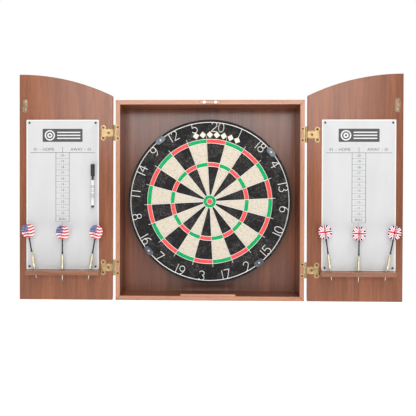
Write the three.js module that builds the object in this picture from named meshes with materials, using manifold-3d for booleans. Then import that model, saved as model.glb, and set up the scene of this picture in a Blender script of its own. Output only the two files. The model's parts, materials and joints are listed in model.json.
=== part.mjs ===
// A wall cabinet for a dartboard: a shallow wooden box with two arched doors that fold flat open,
// a dry-wipe scoreboard and a rack of three darts on each door, and a bristle board hung inside.
// Millimetres. +X is right, +Z is up, and the front faces -Y. The origin is the centre of the back,
// on the plane of the wall. The doors are modelled fully open, level with the cabinet's front edge.

import * as THREE from "three";
import { mergeVertices } from "three/addons/utils/BufferGeometryUtils.js";
import Module from "manifold-3d";

const wasm = await Module();
wasm.setup();

// ---------------------------------------------------------------- driving dimensions

// cabinet box, which is sized by the room that it leaves round the board
const boardRoomSides = 15.5;
const boardRoomEnds = 31.5;
const panelThickness = 12;
const backThickness = 5;
const rebateDepth = 6;

// doors: straight at the hinge edge, rising in one arc to the edge where they meet
const doorThickness = 12;
const doorRise = 58;
const doorOverTop = 11;
const meetingGap = 1;

// hinges: flat nested leaves on a round barrel
const leafThickness = 1;
const leafGap = 0.4;
const barrelDiameter = 6;
const barrelClearance = 1;
const hingePinDiameter = 2.4;
const pinClearance = 0.2;
const hingeHeight = 42;
const hingeNeckHeight = 19;
const hingeLobeRadius = 7;
const hingeWaistWidth = 10;
const hingeReach = 32;
const hingeEarReach = 11.5;
const hingeWebWidth = 2.5;
const hingeNeckScrew = 11;
const hingeNeckSwell = 1;
const hingePinProud = 0.6;
const hingeInset = 88;
const rightHingeDrop = 5;

// magnetic catch
const catchWidth = 52;
const catchHeight = 8.4;
const catchDepth = 20;
const catchFloor = 3;
const magnetDiameter = 7.4;
const magnetSpacing = 30;
const magnetProud = 0.8;
const strikeWidth = 14;
const strikeHeight = 37;
const strikeThickness = 1;
const strikeAboveCatch = -9;

// scoreboards and dart racks, measured from each door's own edges
const scoreboardThickness = 3;
const scoreboardHingeMargin = 37;
const scoreboardMeetingMargin = 19.5;
const scoreboardBottomMargin = 82;
const scoreboardBelowTop = 53;
const scoreboardCorner = 1.5;
const rackThickness = 12;
const rackDepth = 30;
const rackShift = 4.5;
const rackHoleDiameter = 6;
const rackHoleSpacing = 72;

// darts
const pointLength = 28;
const pointDiameter = 2.3;
const barrelLength = 43;
const barrelBodyDiameter = 8;
const noseDiameter = 3.4;
const stemLength = 39;
const stemDiameter = 4.6;
const flightLength = 37;
const flightHalfWidth = 17.6;
const flightThickness = 0.6;
const flightToScoreboard = 1.4;
const flightToBoard = 7.8;
const leftLeans = [-10.4, 0, 9.4];
const rightLeans = [-8, 0.7, 11.2];
const leftStands = [6, 0, 2.5];
const rightStands = [4.5, 0, 4.5];

// marker pen, held flat on the left scoreboard
const markerFromHingeEdge = 52.5;
const markerHeight = 249;
const markerBodyDiameter = 9.2;
const markerBodyLength = 74;
const capDiameter = 10.7;
const capLength = 32;
const nibLength = 9;
const markerNeckShowing = 10;
const markerPlugLength = 6;

// dartboard
const boardDiameter = 451;
const boardThickness = 38;
const boardDrop = 3;
const boardTurn = 6;
const backingThickness = 9;
const bandThickness = 1.2;
const hangGap = 6;
const wireThickness = 1.4;
const outerBullDiameter = 35;
const trebleInner = 96.5;
const trebleOuter = 107.5;
const doubleInner = 160.5;
const doubleOuter = 171.5;
const wireTailLength = 10;
const numberRingInset = 8;
const numberRingWire = 2.8;
const clipLength = 29;
const clipWidth = 15.5;
const clipOffset = 1.5;
const clipRoof = 1;
const clipAngles = [45, 135, 225, 315];
const bedCount = 20;

// board bracket and hanging screw
const bracketWidth = 76;
const bracketHeight = 60;
const bracketPlate = 1.5;
const bracketRaisedWidth = 44;
const bracketToBoard = 1;
const screwDepth = 6;
const screwShankDiameter = 5;
const screwHeadDiameter = 12;
const screwHeadThickness = 2.2;

// small strip on the floor of the cabinet
const stripLength = 148;
const stripSide = 5;
const stripOffset = -4;

// the gap left where one piece seats on or in another
const seat = 0.3;

// fineness of the large curves
const boardSides = 60;
const ringSectionSides = 6;
const archSteps = 24;

// ---------------------------------------------------------------- worked out from those

const rackHoleFromDoor = scoreboardThickness + flightToScoreboard + flightHalfWidth;
const doorGap = 2 * leafThickness + leafGap;
const roomBeforeBoard = rackHoleFromDoor + flightHalfWidth + flightToBoard - doorGap;
const cabinetWidth = boardDiameter + 2 * (boardRoomSides + panelThickness);
const cabinetHeight = boardDiameter + 2 * (boardRoomEnds + panelThickness);
const cabinetDepth = backThickness + hangGap + boardThickness + roomBeforeBoard;
const frontY = -cabinetDepth;
const backFaceY = -backThickness;
const bottomZ = -cabinetHeight / 2;
const topZ = cabinetHeight / 2;
const pinOut = barrelDiameter / 2 + barrelClearance;
const pinY = frontY - doorGap / 2;
const doorWidth = (cabinetWidth - meetingGap) / 2;
const doorHingeHeight = cabinetHeight + doorOverTop;
const doorStart = cabinetWidth / 2 + 2 * pinOut;
const scoreboardWidth = doorWidth - scoreboardHingeMargin - scoreboardMeetingMargin;
const scoreboardHeight = cabinetHeight - scoreboardBottomMargin - scoreboardBelowTop;
const rackCentre = scoreboardHingeMargin + scoreboardWidth / 2 - rackShift;
const rackTopZ = bottomZ + scoreboardBottomMargin - seat;
const boardBackY = backFaceY - hangGap;
const boardFrontY = boardBackY - boardThickness;
const boardZ = -boardDrop;
const raisedFrontY = boardBackY + bracketToBoard;
const raisedBackY = raisedFrontY + bracketPlate;
const bedAngle = 360 / bedCount;
const numberRingRadius = boardDiameter / 2 - numberRingInset;

// ---------------------------------------------------------------- materials

const finish = (color, roughness, metalness = 0) =>
  new THREE.MeshStandardMaterial({ color, roughness, metalness });
const veneer = finish(0x8a5f4c, 0.5);
const edgeBand = finish(0xc08c70, 0.5);
const brass = finish(0xb99a55, 0.3, 1);
const steel = finish(0xb8bcc0, 0.3, 1);
const magnetSteel = finish(0xd6d8da, 0.25, 1);
const greyPlastic = finish(0x8d8f90, 0.5);
const wipeBoard = finish(0xdfe0e3, 0.2);
const sisal = finish(0x22211f, 0.95);
const chipboard = finish(0x9b7d58, 0.9);
const blackBand = finish(0x17181a, 0.5, 0.6);
const wire = finish(0xc9cccf, 0.3, 1);
const dartBrass = finish(0xb08a4a, 0.35, 1);
const blackNylon = finish(0x1a1a1c, 0.4);
const flightFilm = finish(0xc3a9b8, 0.35);
const penWhite = finish(0xeeeeee, 0.35);

// ---------------------------------------------------------------- shape helpers

function toSolid(geometry) {
  const bare = geometry.index ? geometry.toNonIndexed() : geometry.clone();
  bare.deleteAttribute("normal");
  bare.deleteAttribute("uv");
  const merged = mergeVertices(bare, 1e-4);
  const mesh = new wasm.Mesh({
    numProp: 3,
    vertProperties: new Float32Array(merged.attributes.position.array),
    triVerts: new Uint32Array(merged.index.array),
  });
  return new wasm.Manifold(mesh);
}

function toGeometry(solid) {
  const mesh = solid.getMesh();
  const geometry = new THREE.BufferGeometry();
  geometry.setAttribute("position", new THREE.BufferAttribute(mesh.vertProperties, 3));
  geometry.setIndex(new THREE.BufferAttribute(mesh.triVerts, 1));
  geometry.computeVertexNormals();
  return geometry;
}

function cut(body, ...tools) {
  let solid = toSolid(body);
  for (const tool of tools) solid = solid.subtract(toSolid(tool));
  return toGeometry(solid);
}

function join(...pieces) {
  let solid = toSolid(pieces[0]);
  for (const piece of pieces.slice(1)) solid = solid.add(toSolid(piece));
  return toGeometry(solid);
}

function box(x0, x1, y0, y1, z0, z1) {
  const geometry = new THREE.BoxGeometry(Math.abs(x1 - x0), Math.abs(y1 - y0), Math.abs(z1 - z0));
  return geometry.translate((x0 + x1) / 2, (y0 + y1) / 2, (z0 + z1) / 2);
}

// an outline in X and Z, given thickness from yFront back to yBack
function slab(outline, yFront, yBack, curveSegments = 8) {
  const geometry = new THREE.ExtrudeGeometry(outline, {
    depth: yBack - yFront,
    bevelEnabled: false,
    curveSegments,
  });
  return geometry.rotateX(Math.PI / 2).translate(0, yBack, 0);
}

function outlineOf(points) {
  return new THREE.Shape(points.map(([x, z]) => new THREE.Vector2(x, z)));
}

function roundedRectangle(x0, x1, z0, z1, radius) {
  const shape = new THREE.Shape();
  shape.moveTo(x0 + radius, z0);
  shape.lineTo(x1 - radius, z0);
  shape.absarc(x1 - radius, z0 + radius, radius, -Math.PI / 2, 0);
  shape.absarc(x1 - radius, z1 - radius, radius, 0, Math.PI / 2);
  shape.absarc(x0 + radius, z1 - radius, radius, Math.PI / 2, Math.PI);
  shape.absarc(x0 + radius, z0 + radius, radius, Math.PI, 1.5 * Math.PI);
  return shape;
}

// a turned solid about the Y axis; each profile point is [radius, height], anticlockwise in section
function turned(profile, segments) {
  const points = profile.map(([radius, height]) => new THREE.Vector2(radius, height));
  return new THREE.LatheGeometry(points, segments);
}

function turnedY(profile, segments, x, z) {
  return turned(profile, segments).translate(x, 0, z);
}

function turnedZ(profile, segments, x, y) {
  return turned(profile, segments).rotateX(Math.PI / 2).translate(x, y, 0);
}

// plain round rods along Y and along Z
function rodY(radius, y0, y1, segments, x, z) {
  return turnedY([[0, y0], [radius, y0], [radius, y1], [0, y1]], segments, x, z);
}

function rodZ(radius, z0, z1, segments, x, y) {
  return turnedZ([[0, z0], [radius, z0], [radius, z1], [0, z1]], segments, x, y);
}

const group = new THREE.Group();

function add(parent, name, geometry, material) {
  const mesh = new THREE.Mesh(geometry, material);
  mesh.name = name;
  parent.add(mesh);
  return mesh;
}

// ---------------------------------------------------------------- cabinet box

// four panels mitred at the corners, each rebated at the back for the back panel
function addCarcass() {
  const outerX = cabinetWidth / 2;
  const innerX = outerX - panelThickness;
  const innerZ = topZ - panelThickness;
  const rebateX = innerX + rebateDepth;
  const rebateZ = innerZ + rebateDepth;
  const rebate = box(-rebateX - seat, rebateX + seat, backFaceY - seat, 1, -rebateZ - seat, rebateZ + seat);
  const flat = (sign) =>
    slab(
      outlineOf([
        [-outerX, sign * topZ],
        [outerX, sign * topZ],
        [innerX, sign * innerZ],
        [-innerX, sign * innerZ],
      ]),
      frontY,
      0,
    );
  const upright = (sign) =>
    slab(
      outlineOf([
        [sign * outerX, -topZ],
        [sign * outerX, topZ],
        [sign * innerX, innerZ],
        [sign * innerX, -innerZ],
      ]),
      frontY,
      0,
    );
  const catchZ = topZ - panelThickness / 2;
  const pocketX = catchWidth / 2 + seat;
  const pocketZ = catchHeight / 2 + seat;
  const pocket = box(
    -pocketX, pocketX, frontY - 1, frontY + catchDepth + seat, catchZ - pocketZ, catchZ + pocketZ,
  );
  add(group, "top_panel", cut(flat(1), rebate, pocket), veneer);
  add(group, "bottom_panel", cut(flat(-1), rebate), veneer);
  add(group, "left_side_panel", cut(upright(-1), rebate), veneer);
  add(group, "right_side_panel", cut(upright(1), rebate), veneer);
  add(group, "back_panel", box(-rebateX, rebateX, backFaceY, 0, -rebateZ, rebateZ), veneer);
}

function addFloorStrip() {
  const z0 = bottomZ + panelThickness;
  const x0 = stripOffset - stripLength / 2;
  add(
    group,
    "floor_strip",
    box(x0, x0 + stripLength, frontY, frontY + stripSide, z0, z0 + stripSide),
    edgeBand,
  );
}

// a plastic block let into the top panel's front edge, with two round magnets
function addCatch() {
  const z = topZ - panelThickness / 2;
  const boreRadius = magnetDiameter / 2 + seat;
  const bores = [];
  for (const [name, sign] of [["left_magnet", -1], ["right_magnet", 1]]) {
    const x = (sign * magnetSpacing) / 2;
    const magnetBackY = frontY + catchDepth - catchFloor;
    const magnet = rodY(magnetDiameter / 2, frontY - magnetProud, magnetBackY, 24, x, z);
    add(group, name, magnet, magnetSteel);
    bores.push(rodY(boreRadius, frontY - 1, magnetBackY + seat, 24, x, z));
  }
  const halfWidth = catchWidth / 2;
  const halfHeight = catchHeight / 2;
  const block = box(-halfWidth, halfWidth, frontY, frontY + catchDepth, z - halfHeight, z + halfHeight);
  add(group, "catch_housing", cut(block, ...bores), greyPlastic);
}

// ---------------------------------------------------------------- board bracket and dartboard

// a pressed steel plate with a raised middle, and a slot from its top edge for the hanging screw
function addBracket() {
  const outer = bracketWidth / 2;
  const raised = bracketRaisedWidth / 2;
  const riser = raised + bracketPlate;
  const footY = backFaceY - bracketPlate;
  const section = outlineOf([
    [-outer, backFaceY],
    [-outer, footY],
    [-riser, footY],
    [-riser, raisedFrontY],
    [riser, raisedFrontY],
    [riser, footY],
    [outer, footY],
    [outer, backFaceY],
    [raised, backFaceY],
    [raised, raisedBackY],
    [-raised, raisedBackY],
    [-raised, backFaceY],
  ]);
  const plate = new THREE.ExtrudeGeometry(section, { depth: bracketHeight, bevelEnabled: false });
  plate.translate(0, 0, boardZ - bracketHeight / 2);
  const slotRadius = screwShankDiameter / 2 + seat;
  const slot = box(-slotRadius, slotRadius, boardBackY, backFaceY, boardZ, boardZ + bracketHeight);
  const slotEnd = rodY(slotRadius, boardBackY, backFaceY, 24, 0, boardZ);
  add(group, "board_bracket", cut(plate, slot, slotEnd), steel);
}

function addHangingScrew() {
  const headRadius = screwHeadDiameter / 2;
  const shankRadius = screwShankDiameter / 2;
  const headFrontY = raisedBackY + seat;
  const profile = [
    [0, boardBackY - screwDepth],
    [shankRadius, boardBackY - screwDepth],
    [shankRadius, headFrontY],
    [headRadius, headFrontY],
    [headRadius, headFrontY + screwHeadThickness],
    [0, headFrontY + screwHeadThickness],
  ];
  add(group, "hanging_screw", turnedY(profile, 24, 0, boardZ), steel);
}

// a disc of end-on fibre on a thinner backing disc, both inside a black steel band
function addBoardDiscs() {
  const bandInner = boardDiameter / 2 - bandThickness;
  const discRadius = bandInner - seat;
  const joinY = boardBackY - backingThickness;
  const holeRadius = screwShankDiameter / 2 + seat;
  const holeEndY = boardBackY - screwDepth - seat;
  const backing = [
    [0, joinY],
    [discRadius, joinY],
    [discRadius, boardBackY],
    [holeRadius, boardBackY],
    [holeRadius, holeEndY],
    [0, holeEndY],
  ];
  const band = [
    [bandInner, boardFrontY],
    [boardDiameter / 2, boardFrontY],
    [boardDiameter / 2, boardBackY],
    [bandInner, boardBackY],
    [bandInner, boardFrontY],
  ];
  add(group, "sisal_face", rodY(discRadius, boardFrontY, joinY, boardSides, 0, boardZ), sisal);
  add(group, "backing_board", turnedY(backing, boardSides, 0, boardZ), chipboard);
  add(group, "rim_band", turnedY(band, boardSides, 0, boardZ), blackBand);
}

// a point on the board at a radius and an angle clockwise from the top of the board
function onBoard(radius, degrees) {
  const angle = THREE.MathUtils.degToRad(degrees + boardTurn);
  return [radius * Math.sin(angle), boardZ + radius * Math.cos(angle)];
}

// the opening of one scoring bed, between two radii and two spokes, less half a wire all round
function bedOpening(inner, outer, spoke, innerSteps, outerSteps) {
  const half = wireThickness / 2;
  const points = [];
  const arc = (radius, steps, forward) => {
    const inset = THREE.MathUtils.radToDeg(Math.asin(half / radius));
    for (let k = 0; k <= steps; k++) {
      const share = forward ? k / steps : 1 - k / steps;
      points.push(onBoard(radius, spoke + inset + share * (bedAngle - 2 * inset)));
    }
  };
  arc(inner + half, innerSteps, true);
  arc(outer - half, outerSteps, false);
  return slab(outlineOf(points), boardFrontY - 2 * wireThickness, boardFrontY);
}

// the wires that divide the beds: rings and spokes as one flat grid, with a tail past each spoke
function addWireSpider() {
  const half = wireThickness / 2;
  const rim = [];
  const tailHalf = THREE.MathUtils.radToDeg(Math.asin(half / doubleOuter));
  for (let bed = 0; bed < bedCount; bed++) {
    const spoke = (bed - 0.5) * bedAngle;
    rim.push(onBoard(doubleOuter + half, spoke - tailHalf));
    rim.push(onBoard(doubleOuter + wireTailLength, spoke - tailHalf));
    rim.push(onBoard(doubleOuter + wireTailLength, spoke + tailHalf));
    rim.push(onBoard(doubleOuter + half, spoke + tailHalf));
    rim.push(onBoard(doubleOuter + half, spoke + bedAngle / 2));
  }
  const bullRadius = outerBullDiameter / 2 - half;
  const openings = [rodY(bullRadius, boardFrontY - 2 * wireThickness, boardFrontY, 16, 0, boardZ)];
  for (let bed = 0; bed < bedCount; bed++) {
    const spoke = (bed - 0.5) * bedAngle;
    openings.push(bedOpening(outerBullDiameter / 2, trebleInner, spoke, 1, 1));
    openings.push(bedOpening(trebleInner, trebleOuter, spoke, 1, 1));
    openings.push(bedOpening(trebleOuter, doubleInner, spoke, 1, 2));
    openings.push(bedOpening(doubleInner, doubleOuter, spoke, 2, 2));
  }
  const sheet = slab(outlineOf(rim), boardFrontY - seat - wireThickness, boardFrontY - seat);
  add(group, "wire_spider", cut(sheet, ...openings), wire);
}

// a loose wire hoop for the numbers, held by four clips that bridge it
function addNumberRing() {
  const wireRadius = numberRingWire / 2;
  const wireY = boardFrontY - seat - wireRadius;
  const section = [];
  for (let k = 0; k <= ringSectionSides; k++) {
    const angle = (2 * Math.PI * k) / ringSectionSides;
    section.push([numberRingRadius + wireRadius * Math.cos(angle), wireY + wireRadius * Math.sin(angle)]);
  }
  section[ringSectionSides] = section[0];
  add(group, "number_ring", turnedY(section, boardSides, 0, boardZ), wire);

  const channel = wireRadius + seat;
  const grooveY = wireY - channel;
  const groove = [
    [numberRingRadius - channel, grooveY],
    [numberRingRadius + channel, grooveY],
    [numberRingRadius + channel, boardFrontY],
    [numberRingRadius - channel, boardFrontY],
    [numberRingRadius - channel, grooveY],
  ];
  const half = (clipLength - clipWidth) / 2;
  const end = clipWidth / 2;
  const outline = new THREE.Shape();
  outline.moveTo(-half, -end);
  outline.lineTo(half, -end);
  outline.absarc(half, 0, end, -Math.PI / 2, Math.PI / 2);
  outline.absarc(-half, 0, end, Math.PI / 2, 1.5 * Math.PI);
  clipAngles.forEach((degrees, index) => {
    const [x, z] = onBoard(numberRingRadius - clipOffset, degrees);
    const block = slab(outline, grooveY - clipRoof, boardFrontY - seat)
      .rotateY(THREE.MathUtils.degToRad(degrees + boardTurn))
      .translate(x, 0, z);
    const tool = turnedY(groove, boardSides, 0, boardZ);
    add(group, "ring_clip_" + (index + 1), cut(block, tool), steel);
  });
}

// ---------------------------------------------------------------- doors and what is fixed to them

// side is -1 for the left door and 1 for the right one; u runs from the hinge edge outwards
const acrossDoor = (side, u) => side * (doorStart + u);

function doorOutline(side) {
  const radius = (doorWidth ** 2 + doorRise ** 2) / (2 * doorRise);
  const sweep = Math.asin(doorWidth / radius);
  const centreZ = bottomZ + doorHingeHeight + doorRise - radius;
  const points = [
    [acrossDoor(side, 0), bottomZ],
    [acrossDoor(side, doorWidth), bottomZ],
  ];
  for (let k = 0; k <= archSteps; k++) {
    const angle = (sweep * k) / archSteps;
    const u = doorWidth - radius * Math.sin(angle);
    points.push([acrossDoor(side, u), centreZ + radius * Math.cos(angle)]);
  }
  return outlineOf(points);
}

function addDoor(side, name) {
  add(group, name + "_door_panel", slab(doorOutline(side), frontY, frontY + doorThickness), veneer);

  const boardEdges = [scoreboardHingeMargin, doorWidth - scoreboardMeetingMargin]
    .map((u) => acrossDoor(side, u))
    .sort((a, b) => a - b);
  const z0 = bottomZ + scoreboardBottomMargin;
  const face = roundedRectangle(boardEdges[0], boardEdges[1], z0, z0 + scoreboardHeight, scoreboardCorner);
  add(group, name + "_scoreboard", slab(face, frontY - scoreboardThickness, frontY, 3), wipeBoard);

  const strikeX = acrossDoor(side, doorWidth + meetingGap / 2 - magnetSpacing / 2);
  const strikeZ = topZ - panelThickness / 2 + strikeAboveCatch;
  const strike = roundedRectangle(
    strikeX - strikeWidth / 2,
    strikeX + strikeWidth / 2,
    strikeZ - strikeHeight / 2,
    strikeZ + strikeHeight / 2,
    strikeWidth / 2 - seat,
  );
  add(group, name + "_strike_plate", slab(strike, frontY - strikeThickness, frontY, 6), steel);
}

function rackHoleX(side, index) {
  return acrossDoor(side, rackCentre) + (index - 1) * rackHoleSpacing;
}

function addRack(side, name) {
  const halfWidth = scoreboardWidth / 2;
  const x = acrossDoor(side, rackCentre);
  const rackBottomZ = rackTopZ - rackThickness;
  const bar = box(x - halfWidth, x + halfWidth, frontY - rackDepth, frontY, rackBottomZ, rackTopZ);
  const holes = [0, 1, 2].map((index) =>
    rodZ(
      rackHoleDiameter / 2,
      rackBottomZ - 1,
      rackTopZ + 1,
      16,
      rackHoleX(side, index),
      frontY - rackHoleFromDoor,
    ),
  );
  add(group, name + "_dart_rack", cut(bar, ...holes), veneer);
}

// ---------------------------------------------------------------- hinges

// each hinge has a leaf on the cabinet's edge, a T-shaped leaf on the door and a pin through both
function addHinge(side, name, centreZ) {
  const outerX = cabinetWidth / 2;
  const pinX = side * (outerX + pinOut);
  const halfNeck = hingeNeckHeight / 2;
  const halfHeight = hingeHeight / 2;
  const barrelRadius = barrelDiameter / 2;
  const leafFront = frontY - leafThickness;
  const knuckle = (z0, z1) => rodZ(barrelRadius, z0, z1, 16, pinX, pinY);
  const boreRadius = hingePinDiameter / 2 + pinClearance;
  const bore = rodZ(boreRadius, centreZ - halfHeight - 1, centreZ + halfHeight + 1, 16, pinX, pinY);

  const earHeight = halfHeight - halfNeck - seat;
  const webX = [side * (outerX - hingeWebWidth), side * (outerX + barrelClearance / 2)];
  const cabinetPieces = [
    box(webX[0], webX[1], leafFront, frontY, centreZ - halfHeight + 1, centreZ + halfHeight - 1),
  ];
  for (const end of [-1, 1]) {
    const inner = centreZ + end * (halfNeck + seat);
    const outer = centreZ + end * halfHeight;
    const low = Math.min(inner, outer);
    const high = Math.max(inner, outer);
    const lobeX = side * (outerX - hingeEarReach + earHeight / 2);
    cabinetPieces.push(rodY(earHeight / 2, leafFront, frontY, 16, lobeX, (low + high) / 2));
    cabinetPieces.push(box(lobeX, pinX, leafFront, frontY, low, high));
    cabinetPieces.push(knuckle(low, high));
  }
  add(group, name + "_cabinet_leaf", cut(join(...cabinetPieces), bore), brass);

  const headX = acrossDoor(side, hingeReach - hingeLobeRadius);
  const neckScrewX = acrossDoor(side, hingeNeckScrew);
  const lobeRise = halfHeight - hingeLobeRadius;
  const halfWaist = hingeWaistWidth / 2;
  const doorPieces = [
    rodY(hingeLobeRadius, leafFront, frontY, 24, headX, centreZ - lobeRise),
    rodY(hingeLobeRadius, leafFront, frontY, 24, headX, centreZ + lobeRise),
    box(headX - halfWaist, headX + halfWaist, leafFront, frontY, centreZ - lobeRise, centreZ + lobeRise),
    box(pinX, headX, leafFront, frontY, centreZ - halfNeck, centreZ + halfNeck),
    rodY(halfNeck + hingeNeckSwell, leafFront, frontY, 24, neckScrewX, centreZ),
    knuckle(centreZ - halfNeck, centreZ + halfNeck),
  ];
  add(group, name + "_door_leaf", cut(join(...doorPieces), bore), brass);

  const pinEnd = halfHeight + hingePinProud;
  const pin = rodZ(hingePinDiameter / 2, centreZ - pinEnd, centreZ + pinEnd, 16, pinX, pinY);
  add(group, name + "_hinge_pin", pin, brass);
}

// ---------------------------------------------------------------- darts

// a dart stands point down through its rack hole. It is turned about the hole's middle by its lean,
// and a leaning dart wedges in the hole before its nose meets the rack, so it stands that much higher
function addDart(side, name, index, lean, stand) {
  const dart = new THREE.Group();
  dart.position.set(
    rackHoleX(side, index),
    frontY - rackHoleFromDoor,
    rackTopZ - rackThickness / 2,
  );
  dart.rotation.y = THREE.MathUtils.degToRad(lean);
  dart.translateZ(stand);
  group.add(dart);

  const pointRadius = pointDiameter / 2;
  const barrelRadius = barrelBodyDiameter / 2;
  const stemRadius = stemDiameter / 2;
  const noseZ = rackThickness / 2 + seat;
  const barrelEnd = noseZ + barrelLength;
  const taper = barrelLength / 4;
  const barrel = [
    [0, noseZ - pointLength],
    [pointRadius, noseZ - pointLength * 0.8],
    [pointRadius, noseZ],
    [noseDiameter / 2, noseZ],
    [barrelRadius, noseZ + taper],
    [barrelRadius, barrelEnd - taper / 2],
    [stemRadius, barrelEnd],
    [0, barrelEnd],
  ];
  add(dart, `${name}_dart_${index + 1}_barrel`, turnedZ(barrel, 14, 0, 0), dartBrass);

  const stemStart = barrelEnd + seat;
  const stemEnd = stemStart + stemLength;
  const stem = [
    [0, stemStart],
    [stemRadius, stemStart],
    [stemRadius, stemStart + stemLength * 0.2],
    [stemRadius * 0.75, stemStart + stemLength * 0.3],
    [stemRadius * 0.75, stemEnd],
    [0, stemEnd],
  ];
  add(dart, `${name}_dart_${index + 1}_stem`, turnedZ(stem, 12, 0, 0), blackNylon);

  const flightStart = stemEnd + seat;
  const wing = outlineOf([
    [-stemRadius, flightStart],
    [stemRadius, flightStart],
    [flightHalfWidth, flightStart + flightLength * 0.34],
    [flightHalfWidth, flightStart + flightLength * 0.74],
    [flightHalfWidth * 0.55, flightStart + flightLength],
    [-flightHalfWidth * 0.55, flightStart + flightLength],
    [-flightHalfWidth, flightStart + flightLength * 0.74],
    [-flightHalfWidth, flightStart + flightLength * 0.34],
  ]);
  const flat = slab(wing, -flightThickness / 2, flightThickness / 2);
  const upright = flat.clone().rotateZ(Math.PI / 2);
  add(dart, `${name}_dart_${index + 1}_flight`, join(flat, upright), flightFilm);
}

// ---------------------------------------------------------------- marker pen

// a dry-wipe pen lying upright against the left scoreboard, with its cap at the top
function addMarker() {
  const x = acrossDoor(-1, markerFromHingeEdge);
  const y = frontY - scoreboardThickness - seat - capDiameter / 2;
  const z0 = bottomZ + markerHeight;
  const bodyRadius = markerBodyDiameter / 2;
  const neckRadius = markerBodyDiameter * 0.28;
  const shoulderZ = z0 + markerBodyLength;
  const capStart = shoulderZ + markerNeckShowing;
  const nibEnd = capStart + nibLength;
  const body = [
    [0, z0],
    [bodyRadius * 0.75, z0],
    [bodyRadius * 0.75, z0 + markerPlugLength],
    [bodyRadius, z0 + markerPlugLength],
    [bodyRadius, shoulderZ],
    [neckRadius, shoulderZ],
    [neckRadius, capStart + nibLength / 2],
    [neckRadius / 2, nibEnd],
    [0, nibEnd],
  ];
  add(group, "marker_body", turnedZ(body, 16, x, y), penWhite);

  const boreRadius = neckRadius + seat;
  const cap = [
    [boreRadius, capStart],
    [capDiameter / 2, capStart],
    [capDiameter / 2, capStart + capLength],
    [0, capStart + capLength],
    [0, nibEnd + seat],
    [boreRadius, nibEnd + seat],
    [boreRadius, capStart],
  ];
  add(group, "marker_cap", turnedZ(cap, 16, x, y), blackNylon);
}

// ---------------------------------------------------------------- put together

addCarcass();
addFloorStrip();
addCatch();
addBracket();
addHangingScrew();
addBoardDiscs();
addWireSpider();
addNumberRing();
const hingeOffset = cabinetHeight / 2 - hingeInset;
const doors = [
  { side: -1, name: "left", drop: 0, leans: leftLeans, stands: leftStands },
  { side: 1, name: "right", drop: rightHingeDrop, leans: rightLeans, stands: rightStands },
];
for (const { side, name, drop, leans, stands } of doors) {
  addDoor(side, name);
  addRack(side, name);
  addHinge(side, name + "_upper", hingeOffset - drop);
  addHinge(side, name + "_lower", -hingeOffset - drop);
  leans.forEach((lean, index) => addDart(side, name, index, lean, stands[index]));
}
addMarker();

export default group;
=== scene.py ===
import json
from math import cos, pi, radians, sin

import bmesh
import bpy
import numpy as np
from mathutils import Matrix, Vector

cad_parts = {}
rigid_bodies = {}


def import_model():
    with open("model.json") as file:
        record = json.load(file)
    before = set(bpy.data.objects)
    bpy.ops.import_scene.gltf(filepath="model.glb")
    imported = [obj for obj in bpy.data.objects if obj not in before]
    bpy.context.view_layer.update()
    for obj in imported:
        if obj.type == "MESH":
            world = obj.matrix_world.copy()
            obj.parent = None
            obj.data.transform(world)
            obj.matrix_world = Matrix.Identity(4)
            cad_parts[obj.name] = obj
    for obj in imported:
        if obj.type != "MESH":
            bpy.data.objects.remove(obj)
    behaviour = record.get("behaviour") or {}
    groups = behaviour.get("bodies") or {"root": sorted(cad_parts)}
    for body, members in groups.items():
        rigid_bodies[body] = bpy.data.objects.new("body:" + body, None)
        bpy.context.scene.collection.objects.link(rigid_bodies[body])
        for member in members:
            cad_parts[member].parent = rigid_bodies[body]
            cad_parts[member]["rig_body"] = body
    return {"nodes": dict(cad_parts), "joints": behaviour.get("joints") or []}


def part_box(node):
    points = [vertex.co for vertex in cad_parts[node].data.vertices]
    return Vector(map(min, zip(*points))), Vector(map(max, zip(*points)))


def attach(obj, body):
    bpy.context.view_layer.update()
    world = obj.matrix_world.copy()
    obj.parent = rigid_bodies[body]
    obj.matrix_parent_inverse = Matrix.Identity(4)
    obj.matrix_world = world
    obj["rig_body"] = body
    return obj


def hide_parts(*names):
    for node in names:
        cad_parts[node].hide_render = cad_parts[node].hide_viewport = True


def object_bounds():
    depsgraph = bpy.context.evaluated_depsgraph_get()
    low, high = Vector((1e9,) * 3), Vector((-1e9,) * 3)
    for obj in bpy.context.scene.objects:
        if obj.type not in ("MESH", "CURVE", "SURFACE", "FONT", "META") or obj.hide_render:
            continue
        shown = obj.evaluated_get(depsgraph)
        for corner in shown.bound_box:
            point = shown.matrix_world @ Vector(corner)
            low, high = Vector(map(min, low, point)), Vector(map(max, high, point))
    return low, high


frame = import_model()
cad_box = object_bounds()
mm = 0.001

# ---------------------------------------------------------------- studio
# The cabinet hangs in a white surround over a pale floor. One wide soft light stands above and in
# front, and another farther off, whose sheen falls on the upper half of the lacquered wood.

floor_drop = 0.45
floor_reach = 9.0
pure_white = (1, 1, 1, 1)


def tint(red, green, blue):
    """A screen colour, 0 to 255, as the linear colour that a shader takes."""
    screen = np.array([red, green, blue]) / 255
    linear = np.where(screen > 0.04045, ((screen + 0.055) / 1.055) ** 2.4, screen / 12.92)
    return (*linear.tolist(), 1.0)


def finish_named(name, roughness, metallic=0.0, **uniform):
    """A principled material whose even values are set on the shader's own sockets."""
    mat = bpy.data.materials.new(name)
    mat.use_nodes = True
    sockets = mat.node_tree.nodes["Principled BSDF"].inputs
    sockets["Roughness"].default_value = roughness
    sockets["Metallic"].default_value = metallic
    for socket, value in uniform.items():
        sockets[socket.replace("_", " ")].default_value = value
    return mat


def shade(mat, kind, inputs, output=0, **settings):
    """One node of a material: inputs are values or other nodes' outputs. Returns its output."""
    node = mat.node_tree.nodes.new("ShaderNode" + kind)
    for key, value in settings.items():
        setattr(node, key, value)
    for key, value in inputs.items():
        if isinstance(value, bpy.types.NodeSocket):
            mat.node_tree.links.new(value, node.inputs[key])
        else:
            node.inputs[key].default_value = value
    return node.outputs[output]


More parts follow.
